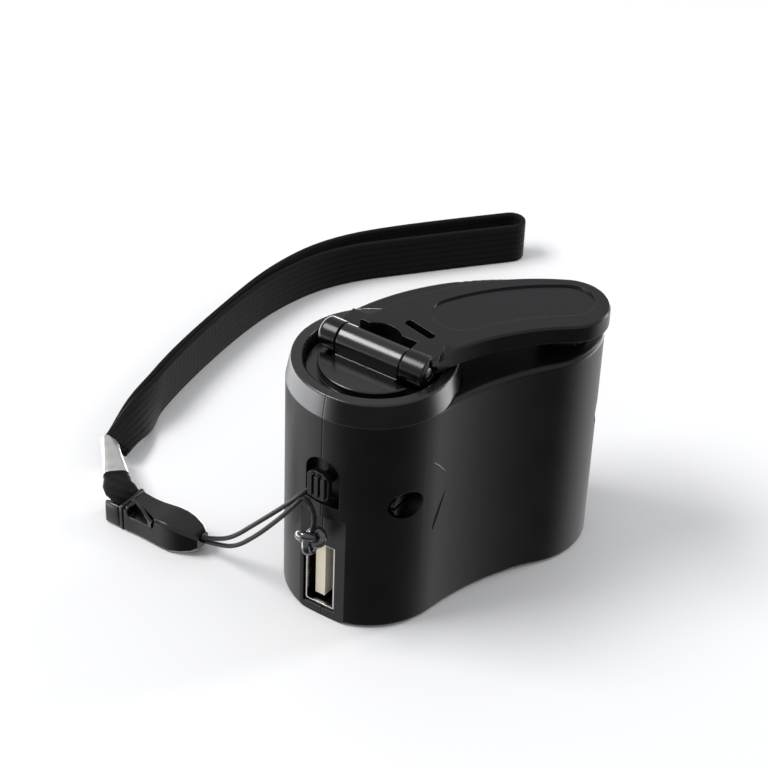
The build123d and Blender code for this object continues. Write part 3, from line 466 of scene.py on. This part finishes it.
# --------------------------------------------------------- wrist strap
# Woven polyester webbing, 8.5 mm wide, doubled back on itself and standing on its edge.
# The two plies lie together near the crimp and open into a rounded fold at the far end.
def woven_webbing():
    """Black webbing: six ribs run along it, 1.3 mm apart, crossed by threads 0.5 mm apart."""
    made, tree, shader = blank_material("woven_polyester_webbing")
    laid = add(tree, "ShaderNodeUVMap", uv_map="weave").outputs[0]
    split = add(tree, "ShaderNodeSeparateXYZ", {0: laid})
    rib_turn = add(
        tree, "ShaderNodeMath", {0: split.outputs[1], 1: 2 * pi / 0.0013},
        operation="MULTIPLY",
    )
    rib = add(tree, "ShaderNodeMath", {0: rib_turn.outputs[0]}, operation="COSINE")
    thread_turn = add(
        tree, "ShaderNodeMath", {0: split.outputs[0], 1: 2 * pi / 0.0005},
        operation="MULTIPLY",
    )
    thread = add(tree, "ShaderNodeMath", {0: thread_turn.outputs[0]}, operation="SINE")
    fuzz = add(
        tree, "ShaderNodeTexNoise", {"Vector": laid, "Scale": 2600, "Detail": 2}
    )
    crossed = add(
        tree, "ShaderNodeMath",
        {0: thread.outputs[0], 1: 0.3, 2: rib.outputs[0]}, operation="MULTIPLY_ADD",
    )
    height = add(
        tree, "ShaderNodeMath",
        {0: fuzz.outputs[0], 1: 0.7, 2: crossed.outputs[0]}, operation="MULTIPLY_ADD",
    )
    lift = add(
        tree, "ShaderNodeMapRange",
        {0: height.outputs[0], 1: -1.2, 2: 1.8, 3: 0.0, 4: 1.0},
    )
    # Painted shade: the colour follows the weave's height, darker in its hollows and lighter
    # on the raised threads.
    colour = add(
        tree, "ShaderNodeMix",
        {0: lift.outputs[0], 6: linear("#020202"), 7: linear("#101011")},
        data_type="RGBA",
    )
    bump = add(
        tree, "ShaderNodeBump",
        {"Height": lift.outputs[0], "Strength": 0.8, "Distance": 0.00018},
    )
    tree.links.new(colour.outputs[2], shader.inputs["Base Color"])
    tree.links.new(bump.outputs[0], shader.inputs["Normal"])
    shader.inputs["Roughness"].default_value = 0.75
    shader.inputs["Specular IOR Level"].default_value = 0.2
    return made


def smooth_line(route):
    """Places read from the smooth line through a route, in metres."""
    line = bpy.data.curves.new("strap_line", "CURVE")
    line.dimensions = "3D"
    spline = line.splines.new("NURBS")
    spline.points.add(len(route) - 1)
    for point, place in zip(spline.points, route):
        point.co = (*at(*place), 1)
    spline.order_u = 3
    spline.use_endpoint_u = True
    spline.resolution_u = 16
    carrier = bpy.data.objects.new("strap_line", line)
    bpy.context.collection.objects.link(carrier)
    bpy.context.view_layer.update()
    smoothed = carrier.evaluated_get(bpy.context.evaluated_depsgraph_get())
    read = bpy.data.meshes.new_from_object(smoothed)
    places = [vert.co.copy() for vert in read.vertices]
    bpy.data.meshes.remove(read)
    bpy.data.objects.remove(carrier)
    bpy.data.curves.remove(line)
    return places


def reached(places, distance):
    """Place and direction at a distance along a line of places."""
    for first, second in zip(places, places[1:]):
        step = (second - first).length
        if distance <= step or second is places[-1]:
            heading = (second - first).normalized()
            return first + heading * distance, heading
        distance -= step
    return places[-1], heading


strap_height = 8.5
strap_ply = 1.0
strap_route = [
    (-1.7, 53.0),
    (5.0, 54.4),
    (19.6, 58.1),
    (40.3, 60.1),
    (56.0, 60.2),
    (70.0, 56.6),
    (83.6, 46.2),
    (99.0, 32.6),
]
strap_middle = smooth_line([(x, y, strap_height / 2) for x, y in strap_route])
strap_length = sum((b - a).length for a, b in zip(strap_middle, strap_middle[1:]))
# The fold's radius and its length along the bend, half the distance between the plies
# near the crimp, and what the webbing is gathered to there, in metres.
half_fold = 0.0024
bend_length = pi * half_fold
half_apart = 0.00058
gathered_half = 0.0026
gathered_length = 0.017
gathered_lean = radians(62)
gathered_drop = 0.0006


def loop_place(distance, share):
    """Place on the webbing's loop at a share of its width, bottom edge to top edge.

    It goes out along one ply, round the fold and back along the other. Near the crimp
    the webbing is gathered to five millimetres and leans over.
    """
    half_height = strap_height / 2000
    if strap_length < distance < strap_length + bend_length:
        middle, heading = reached(strap_middle, strap_length)
        turn = (distance - strap_length) / half_fold
        side = Vector((-heading.y, heading.x, 0))
        middle += half_fold * (heading * sin(turn) + side * cos(turn))
        return middle + Vector((0, 0, half_height * (2 * share - 1)))
    out = distance <= strap_length
    run = distance if out else 2 * strap_length + bend_length - distance
    middle, heading = reached(strap_middle, min(max(run, 0), strap_length))
    opened = min(max((run / strap_length - 0.35) / 0.5, 0), 1)
    spread = half_apart + (half_fold - half_apart) * opened * opened * (3 - 2 * opened)
    free = min(run / gathered_length, 1)
    free = free * free * (3 - 2 * free)
    lean = gathered_lean * (1 - free)
    half_height = gathered_half + (half_height - gathered_half) * free
    middle -= Vector((0, 0, gathered_drop * (1 - free)))
    side = Vector((-heading.y, heading.x, 0))
    tall = side * sin(lean) + Vector((0, 0, cos(lean)))
    off = side * cos(lean) - Vector((0, 0, sin(lean)))
    return middle + off * (spread if out else -spread) + tall * half_height * (2 * share - 1)


loop_length = 2 * strap_length + bend_length
webbing = woven_webbing()
strap_cloth = bmesh.new()
uv = strap_cloth.loops.layers.uv.new("weave")
bmesh.ops.create_grid(strap_cloth, x_segments=240, y_segments=10, size=0.5)
for face in strap_cloth.faces:
    for loop in face.loops:
        across = (loop.vert.co.y + 0.5) * strap_height / 1000
        loop[uv].uv = ((loop.vert.co.x + 0.5) * loop_length, across)
for vert in strap_cloth.verts:
    vert.co = loop_place((vert.co.x + 0.5) * loop_length, vert.co.y + 0.5)
strap = piece_from("wrist_strap_webbing", strap_cloth, webbing)
thickness = strap.modifiers.new("webbing_thickness", "SOLIDIFY")
thickness.thickness = strap_ply / 1000
thickness.offset = 0
edge_round = strap.modifiers.new("selvedge", "BEVEL")
edge_round.width = 0.0003
edge_round.segments = 2
edge_round.limit_method = "ANGLE"
edge_round.angle_limit = radians(60)
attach(strap, "case")
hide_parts("wrist_strap")


# ------------------------------------------------------- strap tail
# The webbing's two ends leave the crimp together, turn flat and wrap the plug's bar.
def flat_ring(middle, wide, thick):
    """Ring round a flat band at a place, from its half width and half thickness vectors."""
    corners = ((-1, -0.4), (-0.8, -1), (0, -1.05), (0.8, -1), (1, -0.4))
    half = [middle + wide * a + thick * b for a, b in corners]
    return half + [middle - wide * a - thick * b for a, b in corners]


# Middle, half width and half thickness of the tail, from the crimp to the plug's frame.
tail_stations = [
    ((-8.7, 47.2, 4.7), (1.3, -1.3, 0.0), (0.0, 0.0, 0.7)),
    ((-10.0, 45.9, 4.9), (1.7, -1.4, 0.1), (-0.1, 0.0, 0.75)),
    ((-11.3, 44.7, 5.2), (2.3, -1.2, 0.1), (-0.1, 0.1, 0.75)),
    ((-12.2, 43.7, 5.4), (2.7, -0.6, 0.0), (-0.1, 0.2, 0.75)),
    ((-12.6, 42.7, 5.5), (2.7, -0.2, 0.0), (0.0, 0.1, 0.75)),
    ((-12.7, 41.7, 5.4), (2.6, 0.0, 0.0), (0.0, -0.2, 0.7)),
    ((-12.7, 41.1, 4.6), (2.6, 0.0, 0.0), (0.0, -0.5, 0.4)),
    ((-12.7, 41.2, 3.2), (2.6, 0.0, 0.0), (0.0, -0.4, 0.1)),
]
tail_rings = [flat_ring(*[Vector(part) for part in station]) for station in tail_stations]
tail_cloth = lofted(tail_rings)
tail_uv = tail_cloth.loops.layers.uv.new("weave")
for face in tail_cloth.faces:
    for loop in face.loops:
        spot = loop.vert.co
        loop[tail_uv].uv = (spot.y, spot.x * 0.7 + spot.z * 0.7)
tail = piece_from("wrist_strap_tail", tail_cloth, webbing, smooth=50)
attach(tail, "case")
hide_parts("wrist_strap")


# ------------------------------------------------------------ crimp
# A strip of nickel-plated steel is folded round the webbing's two plies and pressed flat.
def worked_metal(name, shades, roughness, brushing):
    """Metal with fine lines along one axis, as rolling, drawing or turning leaves them."""
    made, tree, shader = blank_material(name)
    place = add(tree, "ShaderNodeTexCoord").outputs["Object"]
    drawn = add(tree, "ShaderNodeMapping", {"Vector": place, "Scale": brushing})
    lines = add(
        tree, "ShaderNodeTexNoise",
        {"Vector": drawn.outputs[0], "Scale": 600, "Detail": 3},
    )
    colour = add(
        tree, "ShaderNodeMix",
        {0: lines.outputs[0], 6: linear(shades[0]), 7: linear(shades[1])},
        data_type="RGBA",
    )
    gloss = add(
        tree, "ShaderNodeMapRange",
        {0: lines.outputs[0], 1: 0.3, 2: 0.7, 3: roughness - 0.05, 4: roughness + 0.07},
    )
    soft = add(tree, "ShaderNodeBevel", {"Radius": 0.00008}, samples=4)
    bump = add(
        tree, "ShaderNodeBump",
        {"Height": lines.outputs[0], "Strength": 0.15, "Distance": 0.00002,
         "Normal": soft.outputs[0]},
    )
    tree.links.new(colour.outputs[2], shader.inputs["Base Color"])
    tree.links.new(gloss.outputs[0], shader.inputs["Roughness"])
    tree.links.new(bump.outputs[0], shader.inputs["Normal"])
    shader.inputs["Metallic"].default_value = 1
    return made


crimp_steel = worked_metal("nickel_plated_steel", ("#d8d8d4", "#f2f2ee"), 0.3, (1, 1, 0.1))
crimp_start = Vector((-2.7, 53.5, 4.7))
crimp_end = Vector((-9.3, 46.6, 4.7))
crimp_wide_start = Vector((0.45, -1.1, -0.9))
crimp_wide_end = Vector((1.45, -1.4, -0.1))
crimp_width, crimp_thickness, crimp_sides = 1.12, 1.2, 20
# Shares of the crimp's length, and how far the pressing thins or flares it there.
crimp_pinches = [(0, 1.0), (0.06, 1.08), (0.3, 1.0), (0.5, 0.93)]
crimp_pinches += [(0.7, 1.0), (0.94, 1.08), (1, 1.0)]
crimp_rings = []
for share, pinch in crimp_pinches:
    middle = crimp_start.lerp(crimp_end, share)
    wide = crimp_wide_start.lerp(crimp_wide_end, share)
    thick = (crimp_end - crimp_start).normalized().cross(wide.normalized())
    thick = thick * crimp_thickness
    ring = []
    for number in range(crimp_sides):
        angle = 2 * pi * number / crimp_sides
        across = (abs(cos(angle)) ** 0.55) * (1 if cos(angle) > 0 else -1)
        upward = pinch * (abs(sin(angle)) ** 0.75) * (1 if sin(angle) > 0 else -1)
        ring.append(middle + wide * across * crimp_width + thick * upward)
    crimp_rings.append(ring)
crimp = piece_from("strap_crimp_sleeve", lofted(crimp_rings), crimp_steel, smooth=50)
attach(crimp, "case")
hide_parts("strap_crimp")


# ------------------------------------------------------------- case
# Two halves and the ring round the hub, injection moulded in black ABS with a satin
# texture. They meet in a fine line down the round front and are screwed together.
def finish(material, *names):
    """Gives CAD pieces a material in place of the plain one."""
    for name in names:
        for slot in nodes[name].material_slots:
            slot.material = material


parting_slope = -11.8 / 26.7
case_abs = moulded_plastic(
    "abs_satin_black", ("#060607", "#0a0a0c", "#131318"), 0.34, 0.35, 0.42,
    edge=0.15, parting=parting_slope,
)
finish(case_abs, "right_case_half", "left_case_half")
collar_abs = moulded_plastic(
    "abs_polished_black", ("#050506", "#08080a", "#17171c"), 0.27, 0.35, 0.8,
    edge=0.2, parting=parting_slope,
)
finish(collar_abs, "hub_collar")
stud_abs = moulded_plastic(
    "abs_gloss_black", ("#0b0b0d", "#121214", "#222226"), 0.24, 0.4, 0.45, edge=0.12
)
finish(stud_abs, "lanyard_stud")


# -------------------------------------------------------- grip edge
# A low raised edge is moulded on the near side, bent like an arrowhead that points to
# the tail. It stands a quarter of a millimetre proud and fades out at both ends.
front_radius = 14.0
edge_places = [(-2.9, 31.6), (-1.6, 30.1), (-0.3, 28.6), (0.8, 27.2), (0.9, 26.4)]
edge_places += [(0.2, 24.4), (-0.7, 22.2), (-1.6, 20.0), (-2.4, 17.8)]
edge_rings = []
for number, (x, z) in enumerate(edge_places):
    outward = Vector((x, -((front_radius**2 - x**2) ** 0.5), 0)).normalized()
    along = Vector((-outward.y, outward.x, 0))
    before = edge_places[max(number - 1, 0)]
    after = edge_places[min(number + 1, len(edge_places) - 1)]
    way = Vector((after[0] - before[0], after[1] - before[1])).normalized()
    side = along * way.y - Vector((0, 0, way.x))
    fade = sin(pi * (number + 0.6) / (len(edge_places) + 0.2)) ** 0.6
    foot = outward * (front_radius - 0.12) + Vector((0, 0, z))
    crest = outward * (front_radius + 0.27 * fade) + Vector((0, 0, z))
    edge_rings.append([foot - side * 0.75 * fade, crest, foot + side * 0.3 * fade])
grip_edge = piece_from("moulded_grip_edge", lofted(edge_rings), case_abs, smooth=80)
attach(grip_edge, "case")


# ---------------------------------------------------- crank and arm
# Hub, folding arm and finger knob are moulded in glass-filled nylon, smoother than the
# case. Their edges are rounded by handling.
arm_nylon = moulded_plastic(
    "nylon_black", ("#08080a", "#0d0d10", "#242529"), 0.24, 0.3, 0.42, edge=0.2
)
finish(arm_nylon, "crank_arm", "arm_knuckles", "knob")
hub_nylon = moulded_plastic(
    "nylon_black_hub", ("#08080a", "#0e0e12", "#2c2e35"), 0.2, 0.3, 0.75, edge=0.24
)
finish(hub_nylon, "crank_hub")


# --------------------------------------------------------- metal parts
# Turned and drawn parts: zinc-plated screws, steel pins and motor can, sintered bronze
# bushes, the socket's folded nickel-plated shell with its gilded contacts, and the
# generator's ferrite magnets and enamelled copper windings.
turned_steel = worked_metal("turned_steel", ("#8f9092", "#c3c4c6"), 0.28, (1, 1, 6))
finish(turned_steel, "crank_shaft", "shaft_clip", "knob_pin", "idler_pins")
finish(turned_steel, "generator_shaft")
pin_steel = worked_metal("polished_pin_steel", ("#e4e4e2", "#fafaf8"), 0.35, (1, 0.2, 1))
finish(pin_steel, "hinge_pin")
# Painted shade: the screws are drawn near black, as they lie in shade at the bottom of their
# deep holes.
screw_painted_shade = worked_metal("zinc_screw_painted_shade", ("#131416", "#26272a"), 0.3, (1, 3, 1))
finish(screw_painted_shade, "case_screws")
drawn_steel = worked_metal("drawn_steel_can", ("#9b9c9e", "#c8c9ca"), 0.32, (1, 1, 0.15))
finish(drawn_steel, "generator_can")
core_steel = worked_metal("stacked_core_steel", ("#5a5b5e", "#8d8e90"), 0.4, (0.2, 0.2, 4))
finish(core_steel, "rotor_core")
bronze = worked_metal("sintered_bronze", ("#7d5a2c", "#b98a4a"), 0.45, (1, 1, 1))
finish(bronze, "upper_shaft_bush", "lower_shaft_bush", "generator_bush")
socket_nickel = worked_metal("folded_nickel_plate", ("#dcdcda", "#f4f4f2"), 0.22, (0.2, 1, 1))
finish(socket_nickel, "usb_shell")
socket_tree = socket_nickel.node_tree
socket_shader = next(n for n in socket_tree.nodes if n.type == "BSDF_PRINCIPLED")
bright_plate = socket_shader.inputs["Base Color"].links[0].from_socket
depth = add(
    socket_tree, "ShaderNodeSeparateXYZ",
    {0: add(socket_tree, "ShaderNodeTexCoord").outputs["Object"]},
)
# Painted shade: beyond the mouth the plating is drawn darker, as the shell's inside lies in
# shade.
inner_shade_mask = add(
    socket_tree, "ShaderNodeMapRange",
    {0: depth.outputs[0], 1: at(-12.85, 0, 0).x, 2: at(-12.2, 0, 0).x, 3: 0.0, 4: 1.0},
)
shade_painted_plate = add(
    socket_tree, "ShaderNodeMix",
    {0: inner_shade_mask.outputs[0], 6: bright_plate, 7: linear("#3c3a36")}, data_type="RGBA",
)
socket_tree.links.new(shade_painted_plate.outputs[2], socket_shader.inputs["Base Color"])
gilding = worked_metal("gilded_contact", ("#c79a4a", "#e8c684"), 0.25, (0.2, 1, 1))
finish(gilding, "usb_contacts", "generator_terminals")
ferrite = worked_metal("ferrite_magnet", ("#1e1e20", "#3a3a3c"), 0.6, (1, 1, 1))
finish(ferrite, "generator_magnets")
enamelled = worked_metal("enamelled_copper_wire", ("#7a2f14", "#c4683a"), 0.3, (0.1, 0.1, 5))
finish(enamelled, "rotor_windings")


# ---------------------------------------------------- inner mouldings
# Acetal gears, the socket's cream polymer tongue, the black glass-filled plate and cap,
# the small moulded components on the board and the leads' vinyl.
gear_acetal = moulded_plastic(
    "acetal_white", ("#d9d6cc", "#ece9e0", "#f5f3ec"), 0.35, 0.2, 0.5, edge=0.05
)
finish(gear_acetal, "drive_gear", "idler_gear_1", "idler_gear_2", "generator_pinion")
tongue_polymer = moulded_plastic(
    "polymer_cream", ("#e8ddc4", "#f2e9d4", "#f8f1e2"), 0.4, 0.2, 0.5, edge=0.08
)
finish(tongue_polymer, "usb_insulator")
plate_nylon = moulded_plastic(
    "glass_filled_plate", ("#161618", "#202023", "#303034"), 0.5, 0.5, 0.4, edge=0.1
)
finish(plate_nylon, "gear_plate", "generator_end_cap")
component_epoxy = moulded_plastic(
    "moulded_epoxy", ("#101012", "#1a1a1c", "#2c2c2e"), 0.55, 0.25, 0.4, edge=0.06
)
finish(component_epoxy, "capacitor", "rectifier_diodes", "regulator_chip", "inductor")
lead_vinyl = moulded_plastic(
    "vinyl_insulation", ("#141416", "#1c1c1e", "#2a2a2c"), 0.45, 0.4, 0.45, edge=0.05
)
finish(lead_vinyl, "generator_leads")


# -------------------------------------------------------- circuit board
# Glass-epoxy board under green solder mask, with copper runs showing faintly through it.
def solder_mask():
    """Green mask over copper runs 0.6 mm wide, which lie a little proud and lighter."""
    made, tree, shader = blank_material("solder_mask_green")
    place = add(tree, "ShaderNodeTexCoord").outputs["Object"]
    runs = add(
        tree, "ShaderNodeTexBrick",
        {"Vector": place, "Color1": linear("#1c5c2c"), "Color2": linear("#236b35"),
         "Mortar": linear("#0f3f1c"), "Scale": 300, "Mortar Size": 0.08},
    )
    bump = add(
        tree, "ShaderNodeBump",
        {"Height": runs.outputs[1], "Strength": 0.3, "Distance": 0.00003},
        invert=True,
    )
    tree.links.new(runs.outputs[0], shader.inputs["Base Color"])
    tree.links.new(bump.outputs[0], shader.inputs["Normal"])
    shader.inputs["Roughness"].default_value = 0.3
    shader.inputs["Coat Weight"].default_value = 0.3
    return made


finish(solder_mask(), "circuit_board")


# --------------------------------------------------- floor and lights
# A plain pale floor under an even white light, with a large soft light behind on the
# left and a low one on the right that draws the edges out of the black.
floor_shape = bmesh.new()
bmesh.ops.create_grid(floor_shape, x_segments=1, y_segments=1, size=3)
pale, pale_tree, pale_shader = blank_material("pale_board")
floor_place = add(pale_tree, "ShaderNodeTexCoord").outputs["Object"]
floor_cloud = add(pale_tree, "ShaderNodeTexNoise", {"Vector": floor_place, "Scale": 8})
floor_colour = add(
    pale_tree, "ShaderNodeMix",
    {0: floor_cloud.outputs[0], 6: linear("#f4f4f5"), 7: linear("#f7f7f7")},
    data_type="RGBA",
)
pale_tree.links.new(floor_colour.outputs[2], pale_shader.inputs["Base Color"])
pale_shader.inputs["Roughness"].default_value = 0.6
floor = piece_from("floor", floor_shape, pale)
# The pale floor isn't mirrored in the black plastic, so that its sides stay dark.
floor.visible_glossy = False

# The surround is dark where the charger faces, and rises to white screens on both sides.
surround = bpy.data.worlds.new("studio")
bpy.context.scene.world = surround
surround.use_nodes = True
sky = surround.node_tree
sky.nodes.clear()
screen_strength, overhead_strength = 4.2, 0.56
front_way = Vector((sin(view_turn), -cos(view_turn), 0)) + 0.25 * level
ray = add(sky, "ShaderNodeTexCoord").outputs["Generated"]
facing = add(
    sky, "ShaderNodeVectorMath", {0: ray, 1: front_way}, operation="DOT_PRODUCT"
).outputs["Value"]
rise = add(sky, "ShaderNodeSeparateXYZ", {0: ray}).outputs[2]
low_light = add(
    sky, "ShaderNodeMapRange", {0: facing, 1: 0.62, 2: 0.05, 3: 0.09, 4: 0.75},
    interpolation_type="SMOOTHSTEP",
)
screen_side = add(
    sky, "ShaderNodeMapRange", {0: facing, 1: 0.42, 2: -0.02, 3: 0.0, 4: screen_strength},
    interpolation_type="SMOOTHSTEP",
)
screen_foot = add(
    sky, "ShaderNodeMapRange", {0: rise, 1: -0.54, 2: -0.38, 3: 0.0, 4: 1.0},
    interpolation_type="SMOOTHSTEP",
)
screen = add(
    sky, "ShaderNodeMath",
    {0: screen_side.outputs[0], 1: screen_foot.outputs[0], 2: low_light.outputs[0]},
    operation="MULTIPLY_ADD",
)
above = add(sky, "ShaderNodeMapRange", {0: rise, 1: -0.1, 2: 0.02, 3: 0.0, 4: 1.0})
strength = add(
    sky, "ShaderNodeMix",
    {0: above.outputs[0], 2: screen.outputs[0], 3: overhead_strength},
)
glow = add(
    sky, "ShaderNodeBackground",
    {"Color": linear("#fcfdff"), "Strength": strength.outputs[0]},
)
add(sky, "ShaderNodeOutputWorld", {"Surface": glow.outputs[0]})
bpy.context.scene.view_settings.view_transform = "Standard"


def softbox(name, place, aim, size, power):
    """Rectangular soft light, aimed at a place."""
    light = bpy.data.lights.new(name, "AREA")
    light.shape = "RECTANGLE"
    light.size, light.size_y = size
    light.energy = power
    lamp = bpy.data.objects.new(name, light)
    place, aim = Vector(place), Vector(aim)
    aimed = (aim - place).to_track_quat("-Z", "Y").to_matrix().to_4x4()
    lamp.matrix_world = Matrix.Translation(place) @ aimed
    bpy.context.collection.objects.link(lamp)


softbox("back_left", (-0.3, 0.45, 0.75), (0, 0, 0.02), (0.45, 0.35), 5.6)
softbox("low_right", (0.6, -0.35, 0.3), (0.02, 0, 0.03), (0.15, 0.5), 1.6)
